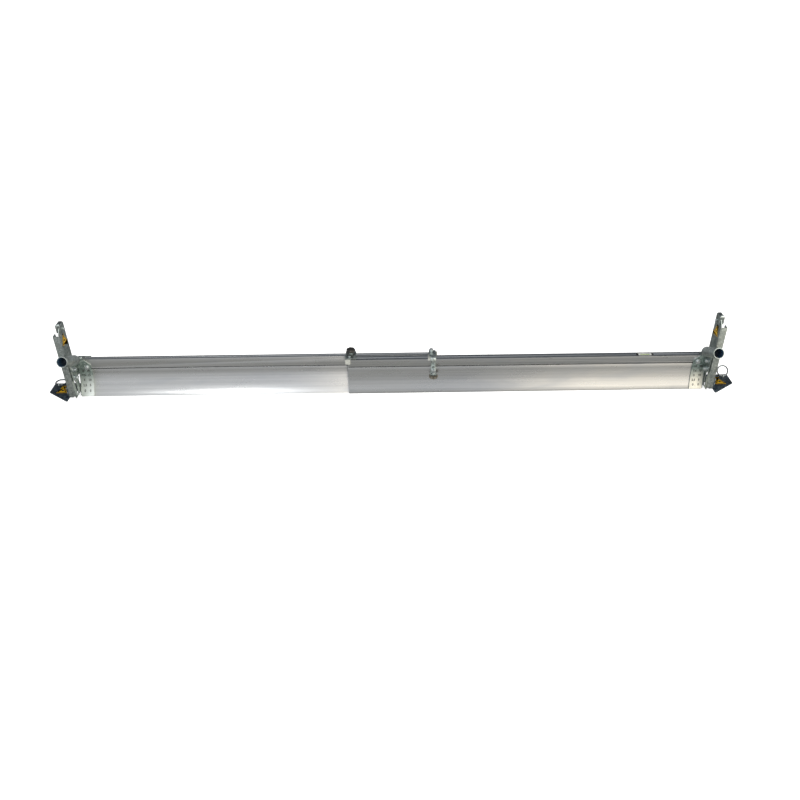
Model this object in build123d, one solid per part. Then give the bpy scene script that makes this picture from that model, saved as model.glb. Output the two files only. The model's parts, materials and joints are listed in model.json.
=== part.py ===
"""Telescopic screed board: two nested aluminium blades, end brackets, and side shoes on sliding posts.

X runs along the blades (+X to the user's right), +Y points away from the user and +Z up.
The origin lies on the ground at mid length, under the screeding edge of the front blade.
"""
from build123d import *
from math import cos, radians, sin, sqrt
from types import SimpleNamespace
import os

# ---------------------------------------------------------------- overall layout
half_length = 1462.0            # centre to the outer end of either blade
overlap_half = 202.0            # each blade passes the centre by this much
top_z = 174.0                   # height of both blades
footprint_reach = 150.0         # the object's depth on either side of the screeding edge

# ---------------------------------------------------------------- blade extrusions
skin = 4.0                      # thickness of the curved face
wall = 3.0                      # thickness of the box walls
toe_width = 6.0                 # flat screeding edge
groove_depth = 4.0
line_width = 6.0                # shallow marking groove along the top
line_depth = 1.6
plug_depth = 9.0                # of an end cap inside the box
front_blade = SimpleNamespace(toe=0.0, face=22.0, band_low=20.0, band_top=16.0, back=52.0,
                              groove_low=130.0, groove_high=136.0)
rear_blade = SimpleNamespace(toe=7.0, face=57.0, band_low=55.0, band_top=55.0, back=80.0,
                             groove_low=121.0, groove_high=127.0)

# ---------------------------------------------------------------- fits
seat_gap = 0.2                  # between pieces that are bolted together
slide_gap = 0.4                 # between the two blades' sliding pieces
hole_gap = 0.25                 # radial clearance of a bolt in its hole
thread_gap = 0.08               # radial running clearance of a turning screw

# ---------------------------------------------------------------- end brackets
sheet = 3.0                     # folded sheet thickness
side_sheet = 4.0
plate_inner_x = 1404.0          # inner edge of the scale plate
tab_inner_x = 1432.0            # inner edge of the tab over the blade's top
side_inner_x = 1464.0           # inner face of the side plate
corner_drop = 30.0              # height of the scale plate's cut corner
tab_depth = 30.0
plate_foot_z = 3.0
bolt_up_from_groove = 7.5       # blade bolt's height over the groove
blade_bolt_x = 1424.0
top_bolt_x = 1448.0
clamp_bolt_y = -5.0
clamp_bolt_heights = (116.0, 158.0)
bracket_front_y = -28.0
bracket_top_z = 180.0           # top of the side plate's upright front edge
shoulder_z = 104.0              # the side plate widens forwards above this height
side_foot_z = 6.0
side_foot_back = 18.0           # of the side plate's foot behind the toe
side_knees_z = (40.0, 72.0)     # where its front edge turns to follow the curved face
tip_along = 62.0                # from the tube's mouth to the side plate's tip
tip_drop = 20.0                 # of the tip's lower corner under the tube's axis
tip_rise = 6.0
brow = (16.0, 203.0)            # Y and Z where the side plate leaves the tube

# ---------------------------------------------------------------- handle tubes
tube_r = 24.15
tube_bore_r = 20.95
tube_length = 137.0
tube_tilt = 27.0                # degrees above the horizontal, towards the user
mouth_z = 275.0
mouth_y = -footprint_reach + tube_r * sin(radians(tube_tilt))
tube_x = side_inner_x - tube_r - 0.1

# ---------------------------------------------------------------- posts
post_sheet = 3.0
post_inner_x = 1470.0
post_outer_x = 1500.0
web_front_y = -35.0
post_back_y = 38.0
lip_back_y = -7.0               # rear edge of the outer flange
post_foot_z = 27.0
flange_foot_z = 18.0            # the inner flange hangs lower than the web
web_top_z = 345.0
taper_z = 354.0                 # the flange narrows above this height
flange_top_z = 380.0
neck_y = (-16.0, 18.0)          # the flange's top edge
slot_width = 13.5
slot_low_z = 23.5
slot_high_z = 169.0

# ---------------------------------------------------------------- pull grips on the posts
grip_x = (1462.0, 1484.0)
grip_y = (-20.0, 22.0)
grip_foot_z = 354.0
grip_top_z = 397.0
grip_shoulder_r = 9.0           # rounding of its front and rear ends
grip_bolt = (5.0, 365.0)        # Y and Z of the cross bolt

# ---------------------------------------------------------------- shoes
shoe_inner_x = post_outer_x + seat_gap
shoe_outer_x = 1627.0
shoe_front_y = -35.0
shoe_back_y = 120.0
deck = 5.0
cheek = 4.0
cheek_foot_z = 27.0             # of the cheek's front edge
cheek_top_z = 78.0
cheek_ramp = ((70.0, 22.0), (8.0, cheek_top_z))   # Y and Z of the cheek's sloping rear edge
cut_corner = ((1524.0, shoe_front_y), (shoe_outer_x, 42.0))
notch = (1517.0, 0.0)           # X and Y of the cut beside the cheek
shoe_bolts_yz = ((-22.0, 42.0), (-22.0, 66.0))

# ---------------------------------------------------------------- pull rings
ring_wire_r = 3.25
ring_mean_r = 25.25
ring_x = 1598.0
ring_y = footprint_reach - 2 * ring_mean_r - ring_wire_r
ring_z = deck + 4.5
eye_r = 8.5
eye_bore_r = 4.0
eye_width = 4.0
right_ring_lean = 57.0          # degrees up from lying flat towards the rear

# ---------------------------------------------------------------- labels
label_sheet = 0.4
post_label = ((-25.0, 291.0), (33.0, 286.0), (3.0, 342.0))
shoe_label = ((1543.0, 33.0), (1595.0, 33.0), (1568.5, 87.0))

# ---------------------------------------------------------------- nylon glides on the blades' inner ends
glide_out = 12.0                # how far a glide stands past the blade's end
front_glide_lap = 12.0          # how far it laps over the blade
rear_glide_lap = 26.0
front_glide_foot_z = 152.0
glide_wall = 3.0

# ---------------------------------------------------------------- hand knobs and their screws
knob_r = 21.5
knob_height = 15.0
knob_lobes = 7
scallop_r = 6.0                 # hollow between two lobes
scallop_out = 3.0               # its centre beyond the rim
knob_crown = 5.0                # solid top of a knob over its screw
screw_r = 5.0
screw_hole_r = 5.5
screw_foot_r = 9.0
bolt_reach = 20.0               # of a clamp's blade bolt below its head

# ---------------------------------------------------------------- front clamp
clamp_sheet = 4.0
clamp_plate_z = top_z + glide_wall + 0.6
front_clamp_x = (-213.0, -164.0)
front_clamp_bolt = (-194.0, 34.0)
front_knob = (-189.0, 67.5)
front_knob_z = 191.0
hook_thick = 4.0
hook_foot_z = 140.0

# ---------------------------------------------------------------- rear clamp, X measured from its knob
rear_knob = (193.5, -9.5)
rear_knob_z = 88.0
rear_clamp_bolt = (rear_knob[0] - 7.5, 67.5)
saddle_x = (rear_knob[0] - 18.5, rear_knob[0] + 13.5)
strap_x = (rear_knob[0] - 11.5, rear_knob[0] + 11.5)
lug_x = (rear_knob[0] - 13.5, rear_knob[0] + 13.5)
pad_x = (rear_knob[0] - 24.5, rear_knob[0] + 12.5)
window_x = (rear_knob[0] - 6.5, rear_knob[0] + 6.5)
jaw_x = (rear_knob[0] - 10.0, rear_knob[0] + 10.0)
tongue_x = (rear_knob[0] - 5.5, rear_knob[0] + 5.5)
saddle_lift = 2.4               # saddle over the front clamp's plate, room for the pad
saddle_back = 2.0               # past the rear blade's back
bend_r = 16.0                   # outer radius of the strap's bend
strap_back_y = 12.5
lug_z = 108.0
lug_front = 12.0                # lug past the screw's axis
pad_back_y = 50.0
pad_front_z = 168.0             # foot of the pad's front drop
jaw_z = (123.0, 135.2)
jaw_front = 9.0                 # jaw past the screw's axis
tongue_back_y = 24.0            # jaw's tongue under the front blade's band
tongue_thick = 4.2

# ---------------------------------------------------------------- spirit level in the front blade
level_x = 1178.0
level_length = 80.0
level_width = 18.0
level_depth = 15.0
level_y = 34.0
vial_r = 5.0
vial_length = 44.0
vial_depth = 6.5                # axis below the blade's top

# ---------------------------------------------------------------- fastener sizes: radius, flats, head, nut
M8 = SimpleNamespace(r=4.0, flats=13.0, head=5.3, nut=6.5, washer_r=8.0, washer=1.6)
M10 = SimpleNamespace(r=5.0, flats=17.0, head=6.4, nut=8.0, washer_r=10.0, washer=2.0)
M12 = SimpleNamespace(r=6.0, flats=19.0, head=7.5, nut=10.0, washer_r=12.0, washer=2.5)

UP = (0, 0, 1)
OUT = (1, 0, 0)
IN = (-1, 0, 0)
FRONT = (0, -1, 0)
REAR = (0, 1, 0)


# ================================================================ small shapes
def block(x, y, z):
    """Box from three (low, high) pairs."""
    body = Box(x[1] - x[0], y[1] - y[0], z[1] - z[0], align=(Align.MIN, Align.MIN, Align.MIN))
    return Pos(x[0], y[0], z[0]) * body


def rod(start, direction, radius, length):
    """Round bar from a point along a direction."""
    bar = Cylinder(radius, length, align=(Align.CENTER, Align.CENTER, Align.MIN))
    return Plane(origin=start, z_dir=direction) * bar


def across(face, x_low, width):
    """Outline drawn in Y and Z, made solid from x_low over the width."""
    return extrude(Plane.YZ.offset(x_low) * face, amount=width, dir=OUT)


def raised(face, z_low, height):
    """Outline drawn in X and Y, made solid upwards."""
    return extrude(Pos(0, 0, z_low) * face, amount=height, dir=UP)


def polygon(*points):
    return make_face(Polyline(*points, close=True))


def hexagon(flats, height):
    return extrude(RegularPolygon(flats / sqrt(3), 6), amount=height)


def hex_bolt(size, seat, direction, length):
    """Bolt whose head sits on the seat; direction points from the seat to the head's top."""
    blank = Cylinder(size.flats / 2 * 1.1, size.head, align=(Align.CENTER, Align.CENTER, Align.MIN))
    head = hexagon(size.flats, size.head) & chamfer(blank.edges().group_by(Axis.Z)[-1], size.head * 0.18)
    shank = Pos(0, 0, -length) * Cylinder(size.r, length + 1, align=(Align.CENTER, Align.CENTER, Align.MIN))
    return Plane(origin=seat, z_dir=direction) * (head + shank)


def hex_nut(size, seat, direction, bore_gap=hole_gap):
    body = hexagon(size.flats, size.nut) - rod((0, 0, -1), UP, size.r + bore_gap, size.nut + 2)
    return Plane(origin=seat, z_dir=direction) * body


def washer(size, seat, direction):
    ring = Cylinder(size.washer_r, size.washer, align=(Align.CENTER, Align.CENTER, Align.MIN))
    ring -= rod((0, 0, -1), UP, size.r + hole_gap, size.washer + 2)
    return Plane(origin=seat, z_dir=direction) * ring


def star_knob(centre, z_low):
    """Lobed hand knob with a blind hole for its vertical screw from below."""
    rim = Circle(knob_r)
    for lobe in range(knob_lobes):
        rim -= Rot(0, 0, (lobe + 0.5) * 360 / knob_lobes) * Pos(knob_r + scallop_out, 0) * Circle(scallop_r)
    body = extrude(rim, amount=knob_height)
    body = Pos(centre[0], centre[1], z_low) * body
    return body - rod((centre[0], centre[1], z_low - 1), UP, screw_r + seat_gap, knob_height - knob_crown + 1)


def save(name, *pieces):
    """Write one node; its pieces stay separate solids."""
    solids = [solid for piece in pieces for solid in piece.solids()]
    shape = solids[0] if len(solids) == 1 else Compound(solids)
    export_step(shape, f"parts/{name}.step")


# ================================================================ blades
def face_radius(blade):
    rise = blade.face - blade.toe
    return (blade.groove_low ** 2 + rise ** 2) / (2 * rise)


def face_y(blade, z, inset=0.0):
    """Y of the curved face at a height; inset moves it towards the user."""
    r = face_radius(blade)
    return blade.face - r + sqrt((r - inset) ** 2 - (blade.groove_low - z) ** 2)


def blade_outline(blade):
    """Closed section of one blade: curved face below, groove, then a box along the top."""
    middle = (blade.band_top + blade.back) / 2
    back_top = (blade.face + skin, blade.groove_low)
    curved = TangentArc((blade.face, blade.groove_low), (blade.toe, 0), tangent=(0, -1))
    toe = Line((blade.toe, 0), (blade.toe + toe_width, 0))
    behind = TangentArc(back_top, (blade.toe + toe_width, 0), tangent=(0, -1))
    floor = blade.face + groove_depth
    box = Polyline(
        back_top,
        (blade.back, blade.groove_low),
        (blade.back, top_z),
        (middle + line_width / 2, top_z),
        (middle, top_z - line_depth),
        (middle - line_width / 2, top_z),
        (blade.band_top, top_z),
        (blade.band_low, blade.groove_high),
        (floor, blade.groove_high),
        (floor, blade.groove_low + 1.5),
        (blade.face, blade.groove_low),
    )
    return make_face(curved + toe + behind + box)


def blade_hollow(blade):
    """Open chamber inside the box."""
    floor = blade.face + groove_depth + wall
    return polygon(
        (blade.band_top + wall, top_z - wall),
        (blade.back - wall, top_z - wall),
        (blade.back - wall, blade.groove_low + wall),
        (floor, blade.groove_low + wall),
        (floor, blade.groove_high + wall),
        (blade.band_low + wall, blade.groove_high + wall),
    )


def blade_body(blade, x_low, x_high):
    length = x_high - x_low
    body = across(blade_outline(blade), x_low, length)
    return body - across(blade_hollow(blade), x_low - 1, length + 2)


def end_cap(blade):
    """Plastic plug in a blade's outer end, drawn for the right-hand end."""
    flange = polygon(
        (blade.band_top, top_z),
        (blade.back, top_z),
        (blade.back, blade.groove_low),
        (blade.face + skin, blade.groove_low),
        (blade.face + skin, blade.groove_high),
        (blade.band_low, blade.groove_high),
    )
    plug = offset(blade_hollow(blade), amount=-seat_gap)
    thick = side_inner_x - half_length - seat_gap
    body = across(flange, half_length + seat_gap / 2, thick)
    return body + across(plug, half_length - plug_depth, plug_depth + 1)


# ================================================================ end bracket, drawn for the right
def blade_bolt_z(blade):
    return blade.groove_high + bolt_up_from_groove


def band_normal(blade):
    """Outward direction of the blade's upper band, which leans a little."""
    rise = top_z - blade.groove_high
    lean = blade.band_low - blade.band_top
    length = sqrt(rise ** 2 + lean ** 2)
    return (0, -rise / length, -lean / length)


def along_normal(blade, distance):
    """Point on the blade bolt's axis, measured outwards from its seat."""
    normal = band_normal(blade)
    y = blade_bolt_seat(blade) + normal[1] * distance
    return (blade_bolt_x, y, blade_bolt_z(blade) + normal[2] * distance)


def blade_bolt_seat(blade):
    """Y of the scale plate's front face where the blade bolt sits."""
    lean = (blade.band_low - blade.band_top) / (top_z - blade.groove_high)
    return blade.band_low - lean * bolt_up_from_groove - seat_gap - sheet


def plate_section(blade):
    """Section of the scale plate: down the blade's face, and back over its top."""
    near = seat_gap
    far = seat_gap + sheet
    foot_near = (face_y(blade, plate_foot_z, near), plate_foot_z)
    foot_far = (face_y(blade, plate_foot_z, far), plate_foot_z)
    inner = TangentArc((blade.face - near, blade.groove_low), foot_near, tangent=(0, -1))
    outer = TangentArc((blade.face - far, blade.groove_low), foot_far, tangent=(0, -1))
    tab_back = blade.band_top + tab_depth
    over = Polyline(
        (blade.face - near, blade.groove_low),
        (blade.band_low - near, blade.groove_high),
        (blade.band_top - near, top_z + near),
        (tab_back, top_z + near),
        (tab_back, top_z + far),
        (blade.band_top - far, top_z + far),
        (blade.band_low - far, blade.groove_high),
        (blade.face - far, blade.groove_low),
    )
    return make_face(inner + Line(foot_near, foot_far) + outer + over)


def scale_plate(blade):
    body = across(plate_section(blade), plate_inner_x, side_inner_x - plate_inner_x)
    corner = Plane.XZ * polygon(
        (plate_inner_x - 5, top_z - corner_drop),
        (plate_inner_x, top_z - corner_drop),
        (tab_inner_x, top_z - 1),
        (tab_inner_x, top_z + 10),
        (plate_inner_x - 5, top_z + 10),
    )
    body -= extrude(Pos(0, blade.back, 0) * corner, amount=120, dir=FRONT)
    body -= rod(along_normal(blade, -20), band_normal(blade), M12.r + hole_gap, 30)
    middle = (blade.band_top + blade.back) / 2
    return body - rod((top_bolt_x, middle, top_z - 5), UP, M8.r + hole_gap, 20)


def side_plate(blade):
    """Upright plate across the blade's end; it carries the handle tube and guides the post."""
    far = seat_gap + sheet
    tip_y = mouth_y + tip_along * cos(radians(tube_tilt))
    tip_z = mouth_z - tip_along * sin(radians(tube_tilt))
    front_edge = [(face_y(blade, z, far), z) for z in (side_foot_z, *side_knees_z, shoulder_z)]
    outline = polygon(
        *front_edge,
        (bracket_front_y, shoulder_z),
        (bracket_front_y, bracket_top_z),
        (tip_y, tip_z - tip_drop),
        (tip_y, tip_z + tip_rise),
        brow,
        (blade.back, top_z + sheet),
        (blade.back, blade.groove_low),
        (blade.toe + side_foot_back, side_foot_z),
    )
    body = across(outline, side_inner_x, side_sheet)
    for z in clamp_bolt_heights:
        body -= rod((side_inner_x - 1, clamp_bolt_y, z), OUT, M12.r + hole_gap, side_sheet + 2)
    return body


def handle_tube():
    direction = (0, cos(radians(tube_tilt)), -sin(radians(tube_tilt)))
    mouth = (tube_x, mouth_y, mouth_z)
    past = (tube_x, mouth_y - direction[1], mouth_z - direction[2])
    return rod(mouth, direction, tube_r, tube_length) - rod(past, direction, tube_bore_r, tube_length + 2)


def bracket_nodes(blade):
    """Every piece of one end bracket, by name."""
    normal = band_normal(blade)
    middle = (blade.band_top + blade.back) / 2
    tab_z = top_z + seat_gap + sheet
    blade_bolt = hex_bolt(M12, along_normal(blade, M12.washer), normal, 14)
    top_bolt = hex_bolt(M8, (top_bolt_x, middle, tab_z + M8.washer), UP, 14)
    head_x = post_inner_x + post_sheet + slide_gap + M12.washer
    nut_x = side_inner_x - M12.washer
    clamp_bolts = []
    clamp_nuts = []
    clamp_washers = []
    for z in clamp_bolt_heights:
        clamp_bolts.append(hex_bolt(M12, (head_x, clamp_bolt_y, z), OUT, head_x - nut_x + 14))
        clamp_nuts.append(hex_nut(M12, (nut_x, clamp_bolt_y, z), IN))
        clamp_washers.append(washer(M12, (head_x - M12.washer, clamp_bolt_y, z), OUT))
        clamp_washers.append(washer(M12, (side_inner_x, clamp_bolt_y, z), IN))
    return {
        "scale_plate": [scale_plate(blade)],
        "side_plate": [side_plate(blade)],
        "handle_tube": [handle_tube()],
        "blade_bolts": [blade_bolt, top_bolt],
        "blade_washers": [washer(M12, along_normal(blade, 0), normal),
                          washer(M8, (top_bolt_x, middle, tab_z), UP)],
        "clamp_bolts": clamp_bolts,
        "clamp_nuts": clamp_nuts,
        "clamp_washers": clamp_washers,
    }


def drill_blade(body, blade, side):
    """Bolt holes in a blade for its end bracket."""
    middle = (blade.band_top + blade.back) / 2
    _, hole_y, hole_z = along_normal(blade, -18)
    body -= rod((side * blade_bolt_x, hole_y, hole_z), band_normal(blade), M12.r + hole_gap, 22)
    return body - rod((side * top_bolt_x, middle, top_z - 8), UP, M8.r + hole_gap, 12)


# ================================================================ post, shoe and ring, drawn for the right
def post():
    """Folded channel: narrow outer flange, web towards the user, deep inner flange with the slot."""
    web = block((post_inner_x, post_outer_x), (web_front_y, web_front_y + post_sheet),
                (post_foot_z, web_top_z))
    lip = block((post_outer_x - post_sheet, post_outer_x), (web_front_y, lip_back_y),
                (post_foot_z, web_top_z))
    inner = polygon(
        (web_front_y, flange_foot_z),
        (post_back_y, flange_foot_z),
        (post_back_y, taper_z),
        (neck_y[1], flange_top_z),
        (neck_y[0], flange_top_z),
        (web_front_y, taper_z),
    )
    flange = across(inner, post_inner_x, post_sheet)
    slot_mid = (slot_low_z + slot_high_z) / 2
    slot_long = slot_high_z - slot_low_z
    slot = Plane.YZ.offset(post_inner_x - 1) * Pos(clamp_bolt_y, slot_mid) * Rot(0, 0, 90) * SlotOverall(
        slot_long, slot_width)
    body = web + lip + flange - extrude(slot, amount=post_sheet + 2, dir=OUT)
    body -= rod((post_inner_x - 1, grip_bolt[0], grip_bolt[1]), OUT, M8.r + hole_gap, post_sheet + 2)
    for y, z in shoe_bolts_yz:
        body -= rod((post_outer_x - post_sheet - 1, y, z), OUT, M8.r + hole_gap, post_sheet + 2)
    return body


def shoe():
    """Flat deck that rides on the kerb, with an upright cheek bolted to the post."""
    deck_face = polygon(
        (shoe_inner_x, notch[1]),
        notch,
        (notch[0], shoe_front_y),
        *cut_corner,
        (shoe_outer_x, shoe_back_y),
        (shoe_inner_x, shoe_back_y),
    )
    cheek_face = polygon(
        (shoe_front_y, cheek_foot_z),
        (notch[1], 0),
        (shoe_back_y, 0),
        (shoe_back_y, deck),
        *cheek_ramp,
        (shoe_front_y, cheek_top_z),
    )
    body = raised(deck_face, 0, deck) + across(cheek_face, shoe_inner_x, cheek)
    for y, z in shoe_bolts_yz:
        body -= rod((shoe_inner_x - 1, y, z), OUT, M8.r + hole_gap, cheek + 2)
    return body


def ring_eye():
    """Small upright eye that the pull ring passes through."""
    body = block((ring_x - eye_width / 2, ring_x + eye_width / 2), (ring_y - eye_r, ring_y + eye_r),
                 (deck, ring_z))
    crown = rod((ring_x - eye_width / 2, ring_y, ring_z), OUT, eye_r, eye_width)
    body += crown & raised(Pos(ring_x, ring_y) * Rectangle(4 * eye_r, 4 * eye_r), ring_z, 2 * eye_r)
    return body - rod((ring_x - eye_width, ring_y, ring_z), OUT, eye_bore_r, 2 * eye_width)


def pull_ring(lean):
    """Wire ring through the eye, turned up from lying flat towards the rear."""
    flat = Pos(0, ring_mean_r, 0) * Torus(ring_mean_r, ring_wire_r)
    return Pos(ring_x, ring_y, ring_z) * Rot(lean, 0, 0) * flat


def pull_grip():
    """Round-topped head on the post's inner flange, slotted to fit over it."""
    low_x, high_x = grip_x
    width = high_x - low_x
    crown_z = grip_top_z - width / 2
    height = grip_top_z - grip_foot_z
    depth = grip_y[1] - grip_y[0]
    body = block(grip_x, grip_y, (grip_foot_z, crown_z))
    body += rod(((low_x + high_x) / 2, grip_y[0], crown_z), REAR, width / 2, depth)
    middle = Pos((grip_y[0] + grip_y[1]) / 2, grip_foot_z)
    ends = middle * RectangleRounded(depth, 2 * height, grip_shoulder_r)
    body &= across(ends, low_x, width)
    body -= block((post_inner_x - seat_gap, post_inner_x + post_sheet + seat_gap),
                  (grip_y[0] - 1, grip_y[1] + 1), (grip_foot_z - 1, flange_top_z + seat_gap))
    return body - rod((low_x - 1, grip_bolt[0], grip_bolt[1]), OUT, M8.r + hole_gap, width + 2)


def post_nodes(lean):
    """Every piece of one sliding post, by name."""
    y, z = grip_bolt
    grip_bolt_body = hex_bolt(M8, (grip_x[0], y, z), IN, grip_x[1] - grip_x[0] + 10)
    grip_nut = hex_nut(M8, (grip_x[1], y, z), OUT)
    shoe_bolts = []
    for bolt_y, bolt_z in shoe_bolts_yz:
        shoe_bolts.append(hex_bolt(M8, (shoe_inner_x + cheek, bolt_y, bolt_z), OUT, 18))
        shoe_bolts.append(hex_nut(M8, (post_outer_x - post_sheet, bolt_y, bolt_z), IN))
    upright = across(polygon(*post_label), post_inner_x - label_sheet, label_sheet)
    flat = raised(polygon(*shoe_label), deck, label_sheet)
    return {
        "post": [post()],
        "shoe": [shoe()],
        "pull_grip": [pull_grip()],
        "grip_fasteners": [grip_bolt_body, grip_nut],
        "shoe_fasteners": shoe_bolts,
        "ring_eye": [ring_eye()],
        "pull_ring": [pull_ring(lean)],
        "post_label": [upright],
        "shoe_label": [flat],
    }


# ================================================================ middle clamps
def front_glide():
    """Nylon cap on the front blade's inner end; its back slides along the rear blade."""
    end = -overlap_half
    outer_y = (front_blade.band_top - glide_wall, rear_blade.band_top - slide_gap)
    body = block((end - glide_out, end + front_glide_lap), outer_y, (front_glide_foot_z, top_z + glide_wall))
    socket = polygon(
        (front_blade.band_low - seat_gap, front_blade.groove_high - 5),
        (front_blade.band_top - seat_gap, top_z + seat_gap),
        (front_blade.back + seat_gap, top_z + seat_gap),
        (front_blade.back + seat_gap, front_blade.groove_high - 5),
    )
    body -= across(socket, end - seat_gap, front_glide_lap + 5)
    x, y = front_clamp_bolt
    return body - rod((x, y, top_z - 5), UP, M8.r + hole_gap, 20)


def rear_glide():
    """Nylon cap on the rear blade's inner end; its front slides along the front blade."""
    end = overlap_half
    outer_y = (front_blade.back + slide_gap, rear_blade.back + glide_wall)
    body = block((end - rear_glide_lap, end + glide_out), outer_y,
                 (rear_blade.groove_high + 1, top_z + glide_wall))
    socket = polygon(
        (rear_blade.band_top - seat_gap, rear_blade.groove_high - 5),
        (rear_blade.band_top - seat_gap, top_z + seat_gap),
        (rear_blade.back + seat_gap, top_z + seat_gap),
        (rear_blade.back + seat_gap, rear_blade.groove_high - 5),
    )
    body -= across(socket, end - rear_glide_lap - 5, rear_glide_lap + 5 + seat_gap)
    x, y = rear_clamp_bolt
    return body - rod((x, y, top_z - 5), UP, M10.r + hole_gap, 20)


def front_clamp_nodes():
    """Plate on the front blade that reaches over the rear blade, with a hand screw."""
    hook_back = rear_blade.back + slide_gap + hook_thick
    seat_z = clamp_plate_z + clamp_sheet
    bolt_x, bolt_y = front_clamp_bolt
    knob_x, knob_y = front_knob
    bracket = block(front_clamp_x, (front_blade.band_top, hook_back), (clamp_plate_z, seat_z))
    bracket += block(front_clamp_x, (hook_back - hook_thick, hook_back), (hook_foot_z, clamp_plate_z))
    bracket -= rod((bolt_x, bolt_y, clamp_plate_z - 1), UP, M8.r + hole_gap, clamp_sheet + 2)
    bracket -= rod((knob_x, knob_y, clamp_plate_z - 1), UP, screw_hole_r, clamp_sheet + 2)
    foot_z = top_z + slide_gap
    foot_high = clamp_plate_z - slide_gap
    screw_top = front_knob_z + knob_height - knob_crown - seat_gap
    screw = rod((knob_x, knob_y, foot_z), UP, screw_r, screw_top - foot_z)
    foot = rod((knob_x, knob_y, foot_z), UP, screw_foot_r, foot_high - foot_z)
    return {
        "front_clamp_bracket": [bracket],
        "front_clamp_bolt": [hex_bolt(M8, (bolt_x, bolt_y, seat_z), UP, bolt_reach)],
        "front_clamp_nut": [hex_nut(M10, (knob_x, knob_y, seat_z), UP, thread_gap)],
        "front_clamp_screw": [screw + foot],
        "front_clamp_knob": [star_knob(front_knob, front_knob_z)],
    }


def rear_clamp_bracket(saddle_z):
    """Saddle, bend, dropped strap and lug of the rear clamp, in one folded sheet."""
    seat_z = saddle_z + clamp_sheet
    bend_y = strap_back_y - clamp_sheet + bend_r
    bend_z = seat_z - bend_r
    bend = rod((strap_x[0], bend_y, bend_z), OUT, bend_r, strap_x[1] - strap_x[0])
    bend -= rod((strap_x[0] - 1, bend_y, bend_z), OUT, bend_r - clamp_sheet, strap_x[1] - strap_x[0] + 2)
    bracket = bend & block(strap_x, (bend_y - bend_r, bend_y), (bend_z, seat_z))
    bracket += block(saddle_x, (bend_y, rear_blade.back + saddle_back), (saddle_z, seat_z))
    bracket += block(strap_x, (strap_back_y - clamp_sheet, strap_back_y), (lug_z, bend_z))
    bracket += block(lug_x, (rear_knob[1] - lug_front, strap_back_y), (lug_z, lug_z + clamp_sheet))
    bracket -= block(window_x, (strap_back_y - clamp_sheet - 1, strap_back_y + 1),
                     (jaw_z[1] - tongue_thick - 1.8, jaw_z[1] + 2))
    bracket -= rod((*rear_clamp_bolt, saddle_z - 1), UP, M10.r + hole_gap, clamp_sheet + 2)
    return bracket - rod((*rear_knob, lug_z - 1), UP, screw_hole_r, clamp_sheet + 2)


def rear_clamp_pad(saddle_z):
    """Nylon pad under the saddle, rounded to lie in the strap's bend."""
    bend_y = strap_back_y - clamp_sheet + bend_r
    bend_z = saddle_z + clamp_sheet - bend_r
    wide_x = (pad_x[0] - 1, pad_x[1] + 1)
    pad = block(pad_x, (strap_back_y + seat_gap, pad_back_y), (top_z + slide_gap, saddle_z))
    pad += block(pad_x, (strap_back_y + seat_gap, front_blade.band_top - slide_gap), (pad_front_z, top_z + 1))
    allowed = rod((wide_x[0], bend_y, bend_z), OUT, bend_r - clamp_sheet - seat_gap, wide_x[1] - wide_x[0])
    allowed += block(wide_x, (bend_y, pad_back_y), (bend_z, saddle_z))
    return pad & allowed


def rear_clamp_nodes():
    """Saddle on the rear blade; its strap drops in front of the front blade to a jaw and hand screw."""
    saddle_z = clamp_plate_z + saddle_lift
    seat_z = saddle_z + clamp_sheet
    bolt_x, bolt_y = rear_clamp_bolt
    knob_x, knob_y = rear_knob
    jaw = block(jaw_x, (knob_y - jaw_front, strap_back_y - clamp_sheet - 0.5), jaw_z)
    tongue_front = strap_back_y - clamp_sheet - 1
    jaw += block(tongue_x, (tongue_front, tongue_back_y), (jaw_z[1] - tongue_thick, jaw_z[1]))
    screw_foot = rear_knob_z + knob_crown + seat_gap
    screw = rod((knob_x, knob_y, screw_foot), UP, screw_r, jaw_z[0] - slide_gap - screw_foot)
    knob = Pos(knob_x, knob_y, rear_knob_z + knob_height) * Rot(180, 0, 0) * star_knob((0, 0), 0)
    return {
        "rear_clamp_bracket": [rear_clamp_bracket(saddle_z)],
        "rear_clamp_bolt": [hex_bolt(M10, (bolt_x, bolt_y, seat_z + M10.nut), UP, bolt_reach + 12)],
        "rear_clamp_spacer": [hex_nut(M10, (bolt_x, bolt_y, seat_z), UP)],
        "rear_clamp_pad": [rear_clamp_pad(saddle_z)],
        "rear_clamp_jaw": [jaw],
        "rear_clamp_nut": [hex_nut(M10, (knob_x, knob_y, lug_z + clamp_sheet), UP, thread_gap)],
        "rear_clamp_screw": [screw],
        "rear_clamp_knob": [knob],
    }


# ================================================================ spirit level
def level_nodes():
    """Vial in a housing let into the top of the front blade, flush with it."""
    half = level_length / 2 - seat_gap
    side = level_width / 2 - seat_gap
    low = top_z - level_depth
    vial_z = top_z - vial_depth
    housing = block((level_x - half, level_x + half), (level_y - side, level_y + side), (low, top_z - 0.2))
    window = block((level_x - vial_length / 2 + 1, level_x + vial_length / 2 - 1),
                   (level_y - vial_r, level_y + vial_r), (vial_z, top_z + 1))
    housing -= window
    housing -= rod((level_x - vial_length / 2 - seat_gap, level_y, vial_z), OUT, vial_r + seat_gap,
                   vial_length + 2 * seat_gap)
    vial = rod((level_x - vial_length / 2, level_y, vial_z), OUT, vial_r, vial_length)
    return {"level_housing": [housing], "level_vial": [vial]}


# ================================================================ assembly
os.makedirs("parts", exist_ok=True)

front_body = blade_body(front_blade, -overlap_half, half_length)
front_body = drill_blade(front_body, front_blade, 1)
front_body -= block((level_x - level_length / 2, level_x + level_length / 2),
                    (level_y - level_width / 2, level_y + level_width / 2), (top_z - wall - 1, top_z + 1))
front_body -= rod((*front_clamp_bolt, top_z - 8), UP, M8.r + hole_gap, 12)
save("front_blade", front_body)

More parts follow.
